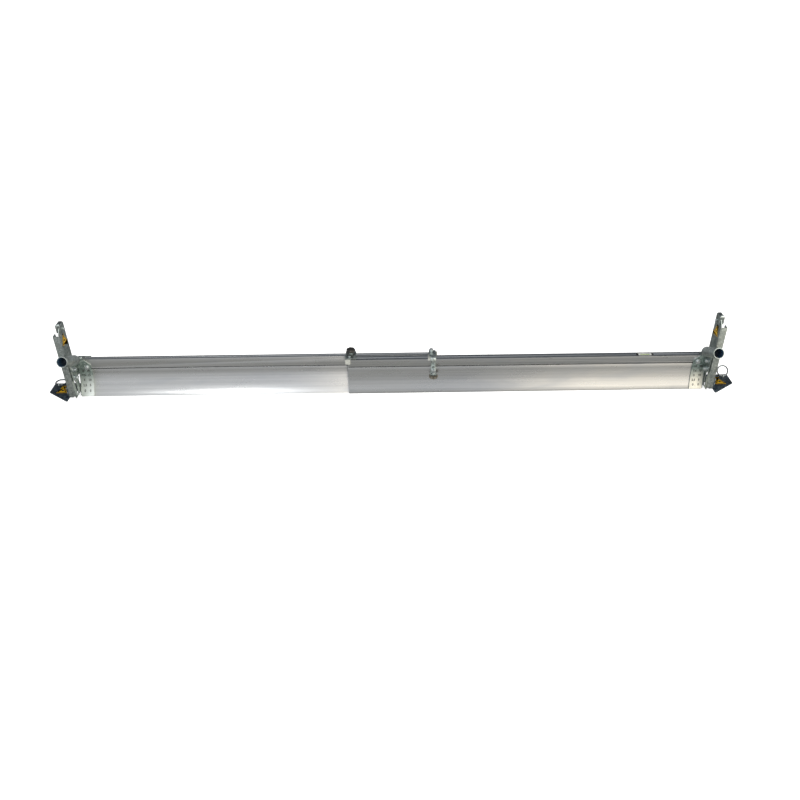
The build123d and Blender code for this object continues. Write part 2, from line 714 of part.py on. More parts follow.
rear_body = blade_body(rear_blade, -half_length, overlap_half)
rear_body = drill_blade(rear_body, rear_blade, -1)
rear_body -= rod((*rear_clamp_bolt, top_z - 8), UP, M10.r + hole_gap, 12)
save("rear_blade", rear_body)

save("front_blade_cap", end_cap(front_blade))
save("rear_blade_cap", mirror(end_cap(rear_blade), about=Plane.YZ))
save("front_blade_glide", front_glide())
save("rear_blade_glide", rear_glide())

for side_name, blade, ring_lean in (("right", front_blade, right_ring_lean), ("left", rear_blade, 0.0)):
    pieces = bracket_nodes(blade) | post_nodes(ring_lean)
    for node, bodies in pieces.items():
        placed = bodies if side_name == "right" else [mirror(body, about=Plane.YZ) for body in bodies]
        save(f"{side_name}_{node}", *placed)

for group in (front_clamp_nodes(), rear_clamp_nodes(), level_nodes()):
    for node, bodies in group.items():
        save(node, *bodies)
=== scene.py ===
"""Looks of a telescopic screed board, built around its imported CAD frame.

X runs along the blades (+X to the user's right), +Y points away from the user, Z is up, in metres.
"""
import bmesh
import bpy
import json
from math import cos, pi, radians, sin
from mathutils import Matrix, Vector
from mathutils.bvhtree import BVHTree


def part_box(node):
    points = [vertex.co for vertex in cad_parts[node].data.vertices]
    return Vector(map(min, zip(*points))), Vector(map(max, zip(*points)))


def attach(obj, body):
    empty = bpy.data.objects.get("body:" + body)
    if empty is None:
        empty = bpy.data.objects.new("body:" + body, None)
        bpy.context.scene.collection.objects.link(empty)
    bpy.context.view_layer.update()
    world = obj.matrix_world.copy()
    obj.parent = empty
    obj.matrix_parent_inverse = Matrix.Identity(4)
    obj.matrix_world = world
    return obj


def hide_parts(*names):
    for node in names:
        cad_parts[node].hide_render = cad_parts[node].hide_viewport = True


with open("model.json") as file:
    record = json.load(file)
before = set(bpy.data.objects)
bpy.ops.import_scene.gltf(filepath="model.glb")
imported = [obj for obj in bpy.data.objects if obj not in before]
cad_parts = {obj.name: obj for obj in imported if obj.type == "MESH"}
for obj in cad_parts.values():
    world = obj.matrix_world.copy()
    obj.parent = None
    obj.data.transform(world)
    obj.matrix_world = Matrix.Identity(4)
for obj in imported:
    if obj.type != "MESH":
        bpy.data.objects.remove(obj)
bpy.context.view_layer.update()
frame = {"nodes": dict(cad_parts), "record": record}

MM = 0.001

# ---------------------------------------------------------------- small sizes, millimetres
sheet_edge = 0.35               # rounding on a sheared sheet's edge
plate_edge = 0.5
fastener_edge = 0.25
moulded_edge = 0.8
extrusion_edge = 0.25
screw_hole = 5.2                # radius of a knob's screw hole
label_corner = 5.0
label_rim = 2.2                 # yellow rim outside the dark band
label_band = 3.6
label_disc = 6.0
label_disc_thick = 0.1
label_disc_lift = 0.06          # of the disc's middle over the field
label_step = 0.2                # thickness of the vinyl
label_sunk = 0.4                # of the vinyl's back below the CAD label's face
label_flat = 1.0                # a label lower than this lies flat on its shoe
number_rows = 5
number_low = 15.0               # lowest figure over the scale plate's foot
number_pitch = 23.0
number_height = 14.0
number_weight = 0.45            # how far a figure's strokes are thickened
NUMBER_COLUMNS = ((0.28, 2.5), (0.7, 5.0))    # place across the plate, and the step between its figures
ink_lift = 0.12
ink_thick = 0.1
ray_start = 50.0                # from well in front of the plate
bubble_half = 7.0
bubble_width = 2.4              # half its width
bubble_depth = 2.0              # half its height
bubble_drift = 1.0              # off the vial's middle
bubble_rise = 0.62              # share of the vial's radius
vial_rim = 1.2
vial_line = 0.9                 # width of a line round the vial
vial_line_gap = 1.0             # from the bubble's end
vial_line_thick = 0.1
level_edge = 0.4
level_white_half = 30.0         # half length of the level's white middle; its ends are black

# ---------------------------------------------------------------- blades' grooves, millimetres
# Y of each groove's floor, and the heights between which it gets painted shade
GROOVES = {"front_blade": (26.0, 131.6, 136.2), "rear_blade": (61.0, 122.6, 127.2)}
groove_slack = 0.3              # in front of the groove's floor
lip_up = 0.3                    # a face whose normal rises more than this is the groove's bright lip
facing = 0.5                    # least share of a face's normal that points the way that is asked for

# ---------------------------------------------------------------- paint on the scale plates, millimetres
paint_low = 38.0                # height where the paint begins to fade
paint_high = 122.0
paint_fray = 20.0               # unevenness of its edge

# ---------------------------------------------------------------- handle tubes, millimetres
tube_radius = 24.15
tube_tilt = 27.0                # degrees above the horizontal, towards the user
weld_start = 66.0               # along the tube from its mouth
weld_end = 132.0
weld_ripple = 2.2               # from one ripple to the next
weld_width = 1.9                # half the bead's width
weld_height = 3.0
weld_lap = 0.9                  # half a ripple's length, as a share of the spacing
WELD_BEADS = ((6.0, 0.3), (-7.2, -0.4))       # each bead's place over the tube's axis and past its side

# ---------------------------------------------------------------- hand knobs, shares of radius and height
KNOB_SKIRT = ((0.84, 0.0), (0.97, 0.12), (1.0, 0.3), (1.0, 0.58), (0.95, 0.76))
KNOB_CROWN = ((0.62, 0.86), (0.5, 0.97), (0.3, 1.0), (0.0, 1.0))
knob_shoulder = (0.8, 0.9)
knob_shoulder_drop = 0.2        # of a fully domed knob's shoulder
scallop_start = 0.55            # the scallops begin this far out
scallop_sharpness = 1.6
steps_per_lobe = 16

# ---------------------------------------------------------------- mesh making
crease = radians(35)            # an edge that turns more than this is a real corner
facet = radians(0.4)            # CAD triangles that turn less than this are one face
label_facet = radians(1)
cad_seam = 0.01 * MM            # vertices nearer than this are one
knob_seam = 0.005 * MM
figure_seam = 0.001 * MM

# ---------------------------------------------------------------- patterns of the finishes, millimetres
DRAWN_LINE = (1400, 2.2, 2.2)
DRAWN_BAND = (2600, 11, 11)
# painted reflection: size of the clouds that carry the painted blue-grey reflection on the aluminium and its
# change in roughness
REFLECTION_HAZE = (240, 60, 60)
GROOVE_SHADE_BLOTCH = (60, 6, 6)
spangle = 7.0                   # across one zinc crystal
spangle_warp = 14.0
zinc_grit = 1.2
sheet_grime = 45.0
plating_patch = 6.0
plating_grain = 0.5
dust_cloud = 9.0
bore_flake = 5.0
weld_tint = 4.0
paint_wear = 18.0
paint_grain = 0.9
spirit_swirl = 8.0

# ---------------------------------------------------------------- studio, metres, watts and degrees
LEFT_WALL = (0.66, 0.67, 0.69, 1)
MIDDLE_WALL = (0.56, 0.59, 0.66, 1)
RIGHT_WALL = (1.85, 1.72, 1.52, 1)
WALL_BEHIND = (0.055, 0.065, 0.08, 1)
SKIRTING_BEHIND = (0.42, 0.43, 0.44, 1)
GROUND_AHEAD = (0.31, 0.31, 0.30, 1)
GROUND_BEHIND = (0.09, 0.10, 0.10, 1)
CEILING = (0.42, 0.44, 0.47, 1)
BACKDROP = (0.95, 0.95, 0.94, 1)
# The part of a direction that each change in the light follows, and where it starts and ends
FADES = {
    "ahead": ("Y", 0.25, -0.3),
    "wall": ("Z", -0.45, 0.08),
    "ceiling": ("Z", 0.72, 0.92),
    "right": ("X", -0.02, 0.34),
    "left": ("X", -0.02, -0.25),
    "skirting": ("Z", -0.45, -0.3),
    "wall_behind": ("Z", 0.05, 0.3),
}
SOFT_BOXES = {
    "key_light": {"place": (-1.8, -2.2, 3.6), "aim": (0, 0, 0), "size": 2.5, "power": 55},
    "fill_light": {"place": (2.6, -1.5, 2.8), "aim": (0.3, 0, 0), "size": 2.0, "power": 35},
}
floor_size = 40.0
floor_glow = 0.8
camera_place = (0.0167, -3.0874, 2.0123)
camera_pitch = 33.61            # below the horizontal
camera_yaw = 0.39
camera_roll = -0.58
camera_lens = 35.1              # millimetres, as its sensor's width
camera_sensor = 36.0
camera_reach = 200.0


# ================================================================ helpers
def linear(hex_colour):
    """Linear RGBA from an sRGB hex value."""
    parts = [int(hex_colour[i:i + 2], 16) / 255 for i in (1, 3, 5)]
    return tuple(c / 12.92 if c <= 0.04045 else ((c + 0.055) / 1.055) ** 2.4 for c in parts) + (1.0,)


def add(tree, kind, inputs=None, **settings):
    """Adds one node; inputs maps its sockets to values or to other nodes' outputs."""
    made = tree.nodes.new("ShaderNode" + kind)
    for name, value in settings.items():
        setattr(made, name, value)
    for key, value in (inputs or {}).items():
        if isinstance(value, bpy.types.NodeSocket):
            tree.links.new(value, made.inputs[key])
        else:
            made.inputs[key].default_value = value
    return made


def new_material(name, **sockets):
    """A material with its shader's own sockets set, with its tree, shader and Object coordinates."""
    material = bpy.data.materials.new(name)
    material.use_nodes = True
    tree = material.node_tree
    shader = tree.nodes["Principled BSDF"]
    for socket, value in sockets.items():
        shader.inputs[socket.replace("_", " ")].default_value = value
    place = add(tree, "TexCoord").outputs["Object"]
    return material, tree, shader, place


def per_size(*sizes):
    """Scale for a pattern whose features are this many millimetres long each way."""
    return tuple(1 / (size * MM) for size in sizes)


def dress(tree, shader, colour, gloss, bump):
    """Links a finish's colour, roughness and bump to its shader."""
    tree.links.new(colour, shader.inputs["Base Color"])
    tree.links.new(gloss, shader.inputs["Roughness"])
    tree.links.new(bump, shader.inputs["Normal"])


def face_outwards(work):
    """Turns every face of a closed shape outwards."""
    bmesh.ops.recalc_face_normals(work, faces=work.faces)
    if work.calc_volume(signed=True) < 0:
        bmesh.ops.reverse_faces(work, faces=work.faces)


def new_piece(work, name, body, slot, *materials):
    """Turns a bmesh into a finished piece that rides on a body."""
    mesh = bpy.data.meshes.new(name)
    work.to_mesh(mesh)
    work.free()
    for extra in [a.name for a in mesh.attributes if a.name == "custom_normal"]:
        mesh.attributes.remove(mesh.attributes[extra])
    mesh.shade_smooth()
    mesh.set_sharp_from_angle(angle=crease)
    for material in materials:
        mesh.materials.append(material)
    piece = bpy.data.objects.new(name, mesh)
    bpy.context.scene.collection.objects.link(piece)
    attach(piece, body)
    return piece


# ================================================================ materials
def drawn_aluminium():
    """Mill-finish extruded aluminium: pale grey, with fine lines drawn along it and cloudy blue-grey patches
    of painted reflection.
    """
    material, tree, shader, place = new_material("mill_finish_aluminium", Metallic=1.0)
    line_space = add(tree, "Mapping", {"Vector": place, "Scale": per_size(*DRAWN_LINE)}).outputs[0]
    band_space = add(tree, "Mapping", {"Vector": place, "Scale": per_size(*DRAWN_BAND)}).outputs[0]
    cloud_space = add(tree, "Mapping", {"Vector": place, "Scale": per_size(*REFLECTION_HAZE)}).outputs[0]
    lines = add(tree, "TexNoise", {"Vector": line_space, "Scale": 1.0, "Detail": 4.0,
                                   "Roughness": 0.6}).outputs[0]
    bands = add(tree, "TexNoise", {"Vector": band_space, "Scale": 1.0, "Detail": 2.0}).outputs[0]
    clouds = add(tree, "TexNoise", {"Vector": cloud_space, "Scale": 1.0, "Detail": 5.0,
                                    "Distortion": 0.6}).outputs[0]
    streaks = add(tree, "Math", {0: lines, 1: bands}, operation="ADD").outputs[0]
    tone = add(tree, "MapRange", {"Value": streaks, "From Min": 0.7, "From Max": 1.3}).outputs[0]
    drawn = add(tree, "Mix", {0: tone, 6: linear("#c9cac9"), 7: linear("#dfe0df")},
                data_type="RGBA").outputs[2]
    # painted reflection: blue-grey clouds mixed into the colour in place of reflections of the surroundings
    reflection_share = add(tree, "MapRange", {"Value": clouds, "From Min": 0.52, "From Max": 0.75,
                                  "To Max": 0.5}).outputs[0]
    colour = add(tree, "Mix", {0: reflection_share, 6: drawn, 7: linear("#b9bec4")}, data_type="RGBA").outputs[2]
    gloss = add(tree, "MapRange", {"Value": clouds, "From Min": 0.3, "From Max": 0.7,
                                   "To Min": 0.24, "To Max": 0.34}).outputs[0]
    bump = add(tree, "Bump", {"Height": streaks, "Strength": 0.35, "Distance": 0.03 * MM}).outputs[0]
    dress(tree, shader, colour, gloss, bump)
    return material


def galvanised_sheet(name, dark, light, grime_colour):
    """Hot-dip galvanised steel sheet: blue-grey zinc with flat spangles a few millimetres across."""
    material, tree, shader, place = new_material(name, Metallic=1.0)
    warp = add(tree, "TexNoise", {"Vector": place, "Scale": 1 / (spangle_warp * MM),
                                  "Detail": 3.0}).outputs["Color"]
    bent = add(tree, "Mix", {0: 0.004, 4: place, 5: warp}, data_type="VECTOR").outputs[1]
    crystals = add(tree, "TexVoronoi", {"Vector": bent, "Scale": 1 / (spangle * MM)}).outputs["Color"]
    shade = add(tree, "SeparateColor", {0: crystals}).outputs[0]
    fine = add(tree, "TexNoise", {"Vector": place, "Scale": 1 / (zinc_grit * MM), "Detail": 4.0}).outputs[0]
    grime = add(tree, "TexNoise", {"Vector": place, "Scale": 1 / (sheet_grime * MM), "Detail": 6.0,
                                   "Distortion": 0.4}).outputs[0]
    dirt = add(tree, "MapRange", {"Value": grime, "From Min": 0.5, "From Max": 0.78,
                                  "To Max": 0.55}).outputs[0]
    zinc = add(tree, "Mix", {0: shade, 6: linear(dark), 7: linear(light)}, data_type="RGBA").outputs[2]
    colour = add(tree, "Mix", {0: dirt, 6: zinc, 7: linear(grime_colour)}, data_type="RGBA").outputs[2]
    gloss = add(tree, "MapRange", {"Value": shade, "To Min": 0.3, "To Max": 0.5}).outputs[0]
    dull = add(tree, "Math", {0: dirt, 1: 0.35, 2: gloss}, operation="MULTIPLY_ADD").outputs[0]
    height = add(tree, "Math", {0: shade, 1: 0.5, 2: fine}, operation="MULTIPLY_ADD").outputs[0]
    bump = add(tree, "Bump", {"Height": height, "Strength": 0.4, "Distance": 0.05 * MM}).outputs[0]
    dress(tree, shader, colour, dull, bump)
    return material


def zinc_plate(name, low, high, rough_low, rough_high):
    """Bright zinc electroplate: silvery with a faint blue passivate and small dull patches."""
    material, tree, shader, place = new_material(name, Metallic=1.0)
    patches = add(tree, "TexNoise", {"Vector": place, "Scale": 1 / (plating_patch * MM),
                                     "Detail": 5.0}).outputs[0]
    fine = add(tree, "TexNoise", {"Vector": place, "Scale": 1 / (plating_grain * MM),
                                  "Detail": 3.0}).outputs[0]
    share = add(tree, "MapRange", {"Value": patches, "From Min": 0.35, "From Max": 0.65}).outputs[0]
    colour = add(tree, "Mix", {0: share, 6: linear(low), 7: linear(high)}, data_type="RGBA").outputs[2]
    gloss = add(tree, "MapRange", {"Value": patches, "From Min": 0.3, "From Max": 0.7,
                                   "To Min": rough_high, "To Max": rough_low}).outputs[0]
    bump = add(tree, "Bump", {"Height": fine, "Strength": 0.25, "Distance": 0.02 * MM}).outputs[0]
    dress(tree, shader, colour, gloss, bump)
    return material


def moulded_plastic(name, base, dust, dust_share, grain, rough_low, rough_high, depth):
    """Moulded plastic with a spark-eroded grain; dust lies over it in clouds."""
    material, tree, shader, place = new_material(name, IOR=1.49)
    texture = add(tree, "TexNoise", {"Vector": place, "Scale": 1 / (grain * MM), "Detail": 3.0}).outputs[0]
    clouds = add(tree, "TexNoise", {"Vector": place, "Scale": 1 / (dust_cloud * MM), "Detail": 6.0,
                                    "Roughness": 0.65}).outputs[0]
    share = add(tree, "MapRange", {"Value": clouds, "From Min": 0.4, "From Max": 0.7,
                                   "To Max": dust_share}).outputs[0]
    colour = add(tree, "Mix", {0: share, 6: linear(base), 7: linear(dust)}, data_type="RGBA").outputs[2]
    gloss = add(tree, "MapRange", {"Value": clouds, "From Min": 0.3, "From Max": 0.7,
                                   "To Min": rough_low, "To Max": rough_high}).outputs[0]
    bump = add(tree, "Bump", {"Height": texture, "Strength": 0.3, "Distance": depth * MM}).outputs[0]
    dress(tree, shader, colour, gloss, bump)
    return material


def painted_groove_shade():
    """Painted shade in a groove: a dark, dull and uneven grey that stands in for the shadow in the recess."""
    material, tree, shader, place = new_material("painted_shade_in_the_groove", Metallic=0.2)
    stretched = add(tree, "Mapping", {"Vector": place, "Scale": per_size(*GROOVE_SHADE_BLOTCH)}).outputs[0]
    shade_blotches = add(tree, "TexNoise", {"Vector": stretched, "Scale": 1.0, "Detail": 6.0,
                                   "Roughness": 0.65}).outputs[0]
    share = add(tree, "MapRange", {"Value": shade_blotches, "From Min": 0.4, "From Max": 0.7}).outputs[0]
    # painted shade: dark to mid grey blotches colour the groove where the recess lies in shadow
    colour = add(tree, "Mix", {0: share, 6: linear("#24262a"), 7: linear("#6a6d6e")},
                 data_type="RGBA").outputs[2]
    gloss = add(tree, "MapRange", {"Value": shade_blotches, "To Min": 0.55, "To Max": 0.85}).outputs[0]
    bump = add(tree, "Bump", {"Height": shade_blotches, "Strength": 0.4, "Distance": 0.1 * MM}).outputs[0]
    dress(tree, shader, colour, gloss, bump)
    return material


def mill_scale():
    """Bare black bore of a rolled tube: dark blue-grey scale, matt and a little rough."""
    material, tree, shader, place = new_material("mill_scale_in_the_bore", Metallic=0.3)
    flakes = add(tree, "TexNoise", {"Vector": place, "Scale": 1 / (bore_flake * MM),
                                    "Detail": 5.0}).outputs[0]
    share = add(tree, "MapRange", {"Value": flakes, "From Min": 0.4, "From Max": 0.65}).outputs[0]
    colour = add(tree, "Mix", {0: share, 6: linear("#1b3550"), 7: linear("#35536a")},
                 data_type="RGBA").outputs[2]
    gloss = add(tree, "MapRange", {"Value": flakes, "To Min": 0.5, "To Max": 0.8}).outputs[0]
    bump = add(tree, "Bump", {"Height": flakes, "Strength": 0.4, "Distance": 0.05 * MM}).outputs[0]
    dress(tree, shader, colour, gloss, bump)
    return material


def weld_bead():
    """Bare weld metal: grey ripples across the bead with a brown and blue heat tint."""
    material, tree, shader, place = new_material("bare_weld_metal", Metallic=1.0)
    tint = add(tree, "TexNoise", {"Vector": place, "Scale": 1 / (weld_tint * MM), "Detail": 3.0}).outputs[0]
    share = add(tree, "MapRange", {"Value": tint, "From Min": 0.38, "From Max": 0.62}).outputs[0]
    colour = add(tree, "Mix", {0: share, 6: linear("#6d7276"), 7: linear("#8d7a62")},
                 data_type="RGBA").outputs[2]
    gloss = add(tree, "MapRange", {"Value": tint, "To Min": 0.35, "To Max": 0.6}).outputs[0]
    bump = add(tree, "Bump", {"Height": tint, "Strength": 0.3, "Distance": 0.05 * MM}).outputs[0]
    dress(tree, shader, colour, gloss, bump)
    return material


def screened_plate(name, paint):
    """Galvanised plate, bare and spangled above, silk-screened below with the paint rubbed in patches."""
    material, tree, shader, place = new_material(name, Metallic=0.35)
    wear = add(tree, "TexNoise", {"Vector": place, "Scale": 1 / (paint_wear * MM), "Detail": 7.0,
                                  "Roughness": 0.7}).outputs[0]
    fine = add(tree, "TexNoise", {"Vector": place, "Scale": 1 / (paint_grain * MM), "Detail": 3.0}).outputs[0]
    crystals = add(tree, "TexVoronoi", {"Vector": place, "Scale": 1 / (spangle * MM)}).outputs["Color"]
    shade = add(tree, "SeparateColor", {0: crystals}).outputs[0]
    height = add(tree, "SeparateXYZ", {0: place}).outputs["Z"]
    edge = add(tree, "Math", {0: wear, 1: paint_fray * MM, 2: height}, operation="MULTIPLY_ADD").outputs[0]
    bare = add(tree, "MapRange", {0: edge, 1: paint_low * MM, 2: paint_high * MM},
               interpolation_type="SMOOTHSTEP").outputs[0]
    rubbed = add(tree, "MapRange", {"Value": wear, "From Min": 0.54, "From Max": 0.74,
                                    "To Max": 0.6}).outputs[0]
    painted = add(tree, "Mix", {0: rubbed, 6: linear(paint), 7: linear("#a9ada6")},
                  data_type="RGBA").outputs[2]
    zinc = add(tree, "Mix", {0: shade, 6: linear("#55645f"), 7: linear("#828e88")},
               data_type="RGBA").outputs[2]
    colour = add(tree, "Mix", {0: bare, 6: painted, 7: zinc}, data_type="RGBA").outputs[2]
    gloss = add(tree, "MapRange", {"Value": wear, "From Min": 0.3, "From Max": 0.7,
                                   "To Min": 0.3, "To Max": 0.5}).outputs[0]
    bump = add(tree, "Bump", {"Height": fine, "Strength": 0.2, "Distance": 0.02 * MM}).outputs[0]
    dress(tree, shader, colour, gloss, bump)
    return material


def coloured_acrylic(name, colour, cloud):
    """Cast acrylic vial with tinted spirit: glossy, and a little uneven in tint."""
    material, tree, shader, place = new_material(name, IOR=1.49, Coat_Weight=0.6)
    swirl = add(tree, "TexNoise", {"Vector": place, "Scale": 1 / (spirit_swirl * MM),
                                   "Detail": 2.0}).outputs[0]
    tint = add(tree, "Mix", {0: swirl, 6: linear(colour), 7: linear(cloud)}, data_type="RGBA").outputs[2]
    gloss = add(tree, "MapRange", {"Value": swirl, "To Min": 0.06, "To Max": 0.14}).outputs[0]
    tree.links.new(tint, shader.inputs["Base Color"])
    tree.links.new(gloss, shader.inputs["Roughness"])
    return material


aluminium = drawn_aluminium()
galvanised = galvanised_sheet("hot_dip_galvanised_sheet", "#9aa4a1", "#c6cdc9", "#85837a")
dull_zinc = galvanised_sheet("dulled_galvanised_sheet", "#4a5660", "#76838a", "#4d4f4b")
grey_enamel = screened_plate("silk_screened_grey_enamel", "#c3cac7")
cream_enamel = screened_plate("silk_screened_cream_enamel", "#ece8d8")
groove_shade = painted_groove_shade()
scale_black = mill_scale()
weld_metal = weld_bead()
bright_zinc = zinc_plate("bright_zinc_plated_steel", "#b9c4c6", "#f2f6f5", 0.2, 0.42)
zinc_wire = zinc_plate("zinc_plated_wire", "#5b6164", "#8d9395", 0.16, 0.3)
black_cap = moulded_plastic("moulded_black_polyethylene", "#161615", "#55534d", 0.4, 0.8, 0.45, 0.65, 0.05)
nylon = moulded_plastic("machined_white_nylon", "#a3a59f", "#7f7f78", 0.5, 1.5, 0.4, 0.6, 0.04)
black_knob = moulded_plastic("moulded_black_phenolic", "#1b1b1a", "#5a5751", 0.35, 0.7, 0.28, 0.5, 0.04)
dusty_knob = moulded_plastic("cement_dusted_phenolic", "#3f3c35", "#7d776a", 0.8, 0.7, 0.5, 0.8, 0.05)
yellow_vinyl = moulded_plastic("yellow_printed_vinyl", "#d8a80e", "#a98518", 0.45, 1.0, 0.28, 0.45, 0.01)
black_ink = moulded_plastic("black_printed_ink", "#1d1a16", "#3a352c", 0.3, 1.0, 0.3, 0.5, 0.01)
white_level = moulded_plastic("moulded_white_abs", "#d6d7d2", "#a9a9a1", 0.3, 0.8, 0.3, 0.45, 0.02)
green_spirit = coloured_acrylic("green_spirit_in_acrylic", "#7d9d2c", "#9bb545")
spirit_bubble = coloured_acrylic("bubble_in_the_spirit", "#c9d98c", "#d9e4a8")

FINISHES = {
    "extruded_aluminium": (aluminium, extrusion_edge),
    "galvanised_sheet": (galvanised, sheet_edge),
    "zinc_fasteners": (bright_zinc, fastener_edge),
    "zinc_wire": (zinc_wire, 0.0),
    "black_end_caps": (black_cap, plate_edge),
    "white_nylon": (nylon, plate_edge),
    "black_knob": (black_knob, moulded_edge),
    "worn_knob": (dusty_knob, moulded_edge),
    "yellow_labels": (yellow_vinyl, 0.0),
    "level_housing": (white_level, moulded_edge),
    "level_vial": (green_spirit, 0.0),
}
BODY_OF = {node: body for body, nodes in frame["record"]["behaviour"]["bodies"].items() for node in nodes}


# ================================================================ pieces carried over from the CAD
def cleaned(node):
    """The CAD piece's mesh as a bmesh of whole flat faces."""
    work = bmesh.new()
    work.from_mesh(frame["nodes"][node].data)
    bmesh.ops.remove_doubles(work, verts=work.verts, dist=cad_seam)
    bmesh.ops.dissolve_limit(work, angle_limit=facet, verts=work.verts, edges=work.edges)
    return work


def finish_of(node, slot_name):
    """The slot's finish and edge; the shoes drag over concrete, so their zinc is dull and dark."""
    finish, edge = FINISHES[slot_name]
    return (dull_zinc if node.endswith("_shoe") else finish), edge


def eased(node, edge):
    """The CAD piece with its sharp edges rounded a little."""
    work = cleaned(node)
    sharp = [e for e in work.edges if len(e.link_faces) == 2 and e.calc_face_angle() > crease]
    if edge:
        bmesh.ops.bevel(work, geom=sharp, offset=edge * MM, segments=2, profile=0.5, affect="EDGES",
                        material=-1, clamp_overlap=True)
    return work


def carry_over(node, slot_name, second=None, takes_second=None):
    """Stands for a CAD piece; the faces that takes_second picks get the second finish."""
    finish, edge = finish_of(node, slot_name)
    work = eased(node, edge)
    if second:
        for face in work.faces:
            face.material_index = int(takes_second(face))
    finishes = [finish, second] if second else [finish]
    piece = new_piece(work, node + "_finished", BODY_OF[node], slot_name, *finishes)
    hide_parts(node)


def in_bore(node):
    """Picks the faces of a handle tube that look inwards, at its axis."""
    start, along = tube_axis(node)

    def look_inwards(face):
        reach = face.calc_center_median() - start
        outwards = reach - along * reach.dot(along)
        return face.normal.dot(outwards) < -facing * outwards.length
    return look_inwards


def faces_user(face):
    return face.normal.y < -facing


def in_groove(node):
    """Picks the floor and the ceiling of a blade's long groove, above its bright lower lip, which get painted
    shade.
    """
    floor_y, low_z, high_z = (size * MM for size in GROOVES[node])

    def is_inside(face):
        middle = face.calc_center_median()
        return low_z < middle.z < high_z and middle.y < floor_y + groove_slack * MM and face.normal.z < lip_up
    return is_inside


def tube_axis(node):
    """Centre of a handle tube's mouth and the direction into the tube."""
    low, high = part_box(node)
    along = Vector((0, cos(radians(tube_tilt)), -sin(radians(tube_tilt))))
    half = tube_radius * MM
    mouth = Vector(((low[0] + high[0]) / 2, low[1] + half * -along.z, high[2] - half * along.y))
    return mouth, along


# ================================================================ hand knobs
def hand_knob(node, lobes, scallop, dome, hangs):
    """Moulded lobed knob: scalloped rim and domed crown, in the CAD knob's space."""
    low, high = (Vector(corner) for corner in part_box(node))
    centre = (low + high) / 2
    radius = (high.y - low.y) / 2
    height = high.z - low.z
    work = bmesh.new()
    shoulder = (knob_shoulder[0], knob_shoulder[1] - knob_shoulder_drop * dome)
    profile = [(out * radius, up * height) for out, up in (*KNOB_SKIRT, shoulder, *KNOB_CROWN)]
    ring = [work.verts.new((x, 0, z)) for x, z in [(screw_hole * MM, 0.0)] + profile]
    edges = [work.edges.new(pair) for pair in zip(ring, ring[1:])]
    bmesh.ops.spin(work, geom=ring + edges, cent=(0, 0, 0), axis=(0, 0, 1), angle=2 * pi,
                   steps=lobes * steps_per_lobe, use_merge=True)
    bmesh.ops.remove_doubles(work, verts=work.verts, dist=knob_seam)
    bmesh.ops.holes_fill(work, edges=[e for e in work.edges if e.is_boundary], sides=0)
    for vert in work.verts:
        reach = vert.co.xy.length / radius
        if reach > scallop_start:
            share = (reach - scallop_start) / (1 - scallop_start)
            wave = (0.5 - 0.5 * cos(lobes * vert.co.xy.angle_signed(Vector((1, 0))))) ** scallop_sharpness
            vert.co.xy *= 1 - scallop * share * wave
    place = Matrix.Translation((centre.x, centre.y, low.z))
    if hangs:
        place = place @ Matrix.Translation((0, 0, height)) @ Matrix.Rotation(pi, 4, "X")
    bmesh.ops.transform(work, matrix=place, verts=work.verts)
    face_outwards(work)
    return work


def knob_piece(node, slot_name, **shape):
    piece = new_piece(hand_knob(node, **shape), node + "_moulded", BODY_OF[node], slot_name,
                      FINISHES[slot_name][0])
    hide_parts(node)


# ================================================================ triangular labels with a plain disc
def label_layers(node):
    """Printed vinyl triangle with round corners: yellow rim, dark band, yellow field and plain dark disc."""
    low, high = (Vector(corner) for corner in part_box(node))
    flat = high.z - low.z < label_flat * MM
    work = cleaned(node)
    outward = Vector((0, 0, 1)) if flat else Vector((1 if low.x < 0 else -1, 0, 0))
    face = max(work.faces, key=lambda f: f.normal.dot(outward) * f.calc_area())
    bmesh.ops.delete(work, geom=[f for f in work.faces if f is not face], context="FACES")
    bmesh.ops.dissolve_limit(work, angle_limit=label_facet, verts=work.verts, edges=work.edges)
    bmesh.ops.bevel(work, geom=list(work.verts), offset=label_corner * MM, segments=5, profile=0.5,
                    affect="VERTICES", material=-1, clamp_overlap=True)
    for vert in work.verts:
        vert.co -= outward * label_sunk * MM
    grown = bmesh.ops.extrude_face_region(work, geom=work.faces[:])
    bmesh.ops.translate(work, vec=outward * label_step * MM,
                        verts=[g for g in grown["geom"] if isinstance(g, bmesh.types.BMVert)])
    front = [g for g in grown["geom"] if isinstance(g, bmesh.types.BMFace)]
    bmesh.ops.inset_region(work, faces=front, thickness=label_rim * MM, use_even_offset=True)
    band = bmesh.ops.inset_region(work, faces=front, thickness=label_band * MM, use_even_offset=True)["faces"]
    for part in work.faces:
        part.material_index = 0 if part in band else 1
    verts = [v for part in front for v in part.verts]
    centre = sum((v.co for v in verts), Vector()) / len(verts)
    turn = Vector((0, 0, 1)).rotation_difference(outward).to_matrix().to_4x4()
    place = Matrix.Translation(centre + outward * label_disc_lift * MM) @ turn
    disc = bmesh.ops.create_cone(work, cap_ends=True, segments=32, radius1=label_disc * MM,
                                 radius2=label_disc * MM, depth=label_disc_thick * MM, matrix=place)
    for vert in disc["verts"]:
        for part in vert.link_faces:
            part.material_index = 0
    face_outwards(work)
    return work


def label_piece(node):
    piece = new_piece(label_layers(node), node + "_printed", BODY_OF[node], "yellow_labels", black_ink,
                      yellow_vinyl)
    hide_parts(node)


# ================================================================ numbers on the scale plates
def figure_mesh(words):
    """Flat printed figure as a thin closed solid, lying in X and Y."""
    text = bpy.data.curves.new("figure", "FONT")
    text.body = words
    text.size = number_height * MM
    text.align_x = "CENTER"
    text.resolution_u = 3
    text.offset = number_weight * MM
    text.extrude = ink_thick / 2 * MM
    holder = bpy.data.objects.new("figure", text)
    flat = bpy.data.meshes.new_from_object(holder)
    bpy.data.objects.remove(holder)
    bpy.data.curves.remove(text)
    return flat


